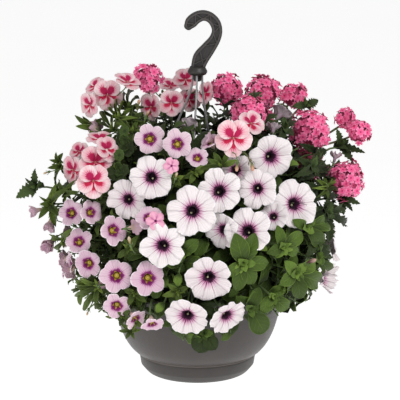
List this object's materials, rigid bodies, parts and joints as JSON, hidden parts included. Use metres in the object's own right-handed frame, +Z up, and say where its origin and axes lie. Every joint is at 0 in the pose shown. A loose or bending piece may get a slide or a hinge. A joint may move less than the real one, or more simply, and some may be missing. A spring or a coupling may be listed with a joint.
{
  "type": "flowering hanging basket",
  "caption": "Round grey plastic hanging pot with a clip-on saucer, a three-strand hanger with a hook, and a full mound of white, pink and magenta flowers.",
  "frame": {"origin": "the seat inside the hook's crown, where the rail or bracket that holds the basket up touches it", "axes": "+Z straight up through the hook, +X to the right and +Y away from the viewer as in the picture"},
  "size_m": [0.4895, 0.3601, 0.5075],
  "materials": {
    "bowl_plastic": "smooth satin taupe-grey moulded plastic",
    "hanger_plastic": "satin charcoal moulded plastic",
    "strand_plastic": "glossy mid-grey moulded plastic",
    "soil": "moist dark potting compost",
    "petunia_petal": "soft white petals with a faint lilac blush, purple veins and a dark purple throat",
    "calibrachoa_petal": "soft lilac-pink petals with a magenta ring and a yellow throat",
    "pelargonium_petal": "soft pink petals with crimson blotches",
    "verbena_petal": "soft hot pink petals",
    "leaf": "soft green leaf with lighter veins"
  },
  "bodies": {
    "root": {"bowl": "bowl_plastic", "calibrachoa_plant": "leaf", "calibrachoa_spray_1": "calibrachoa_petal", "calibrachoa_spray_10": "calibrachoa_petal", "calibrachoa_spray_2": "calibrachoa_petal", "calibrachoa_spray_3": "calibrachoa_petal", "calibrachoa_spray_4": "calibrachoa_petal", "calibrachoa_spray_5": "calibrachoa_petal", "calibrachoa_spray_6": "calibrachoa_petal", "calibrachoa_spray_7": "calibrachoa_petal", "calibrachoa_spray_8": "calibrachoa_petal", "calibrachoa_spray_9": "calibrachoa_petal", "drip_saucer": "bowl_plastic", "hook": "hanger_plastic", "pelargonium_plant": "leaf", "pelargonium_truss_1": "pelargonium_petal", "pelargonium_truss_2": "pelargonium_petal", "pelargonium_truss_3": "pelargonium_petal", "pelargonium_truss_4": "pelargonium_petal", "pelargonium_truss_5": "pelargonium_petal", "pelargonium_truss_6": "pelargonium_petal", "petunia_plant": "leaf", "petunia_plant_behind": "leaf", "petunia_spray_1": "petunia_petal", "petunia_spray_10": "petunia_petal", "petunia_spray_11": "petunia_petal", "petunia_spray_12": "petunia_petal", "petunia_spray_13": "petunia_petal", "petunia_spray_2": "petunia_petal", "petunia_spray_3": "petunia_petal", "petunia_spray_4": "petunia_petal", "petunia_spray_5": "petunia_petal", "petunia_spray_6": "petunia_petal", "petunia_spray_7": "petunia_petal", "petunia_spray_8": "petunia_petal", "petunia_spray_9": "petunia_petal", "soil": "soil", "strand_front": "strand_plastic", "strand_left": "strand_plastic", "strand_right": "strand_plastic", "verbena_head_1": "verbena_petal", "verbena_head_10": "verbena_petal", "verbena_head_11": "verbena_petal", "verbena_head_12": "verbena_petal", "verbena_head_2": "verbena_petal", "verbena_head_3": "verbena_petal", "verbena_head_4": "verbena_petal", "verbena_head_5": "verbena_petal", "verbena_head_6": "verbena_petal", "verbena_head_7": "verbena_petal", "verbena_head_8": "verbena_petal", "verbena_head_9": "verbena_petal", "verbena_plant": "leaf"}
  },
  "joints": []
}
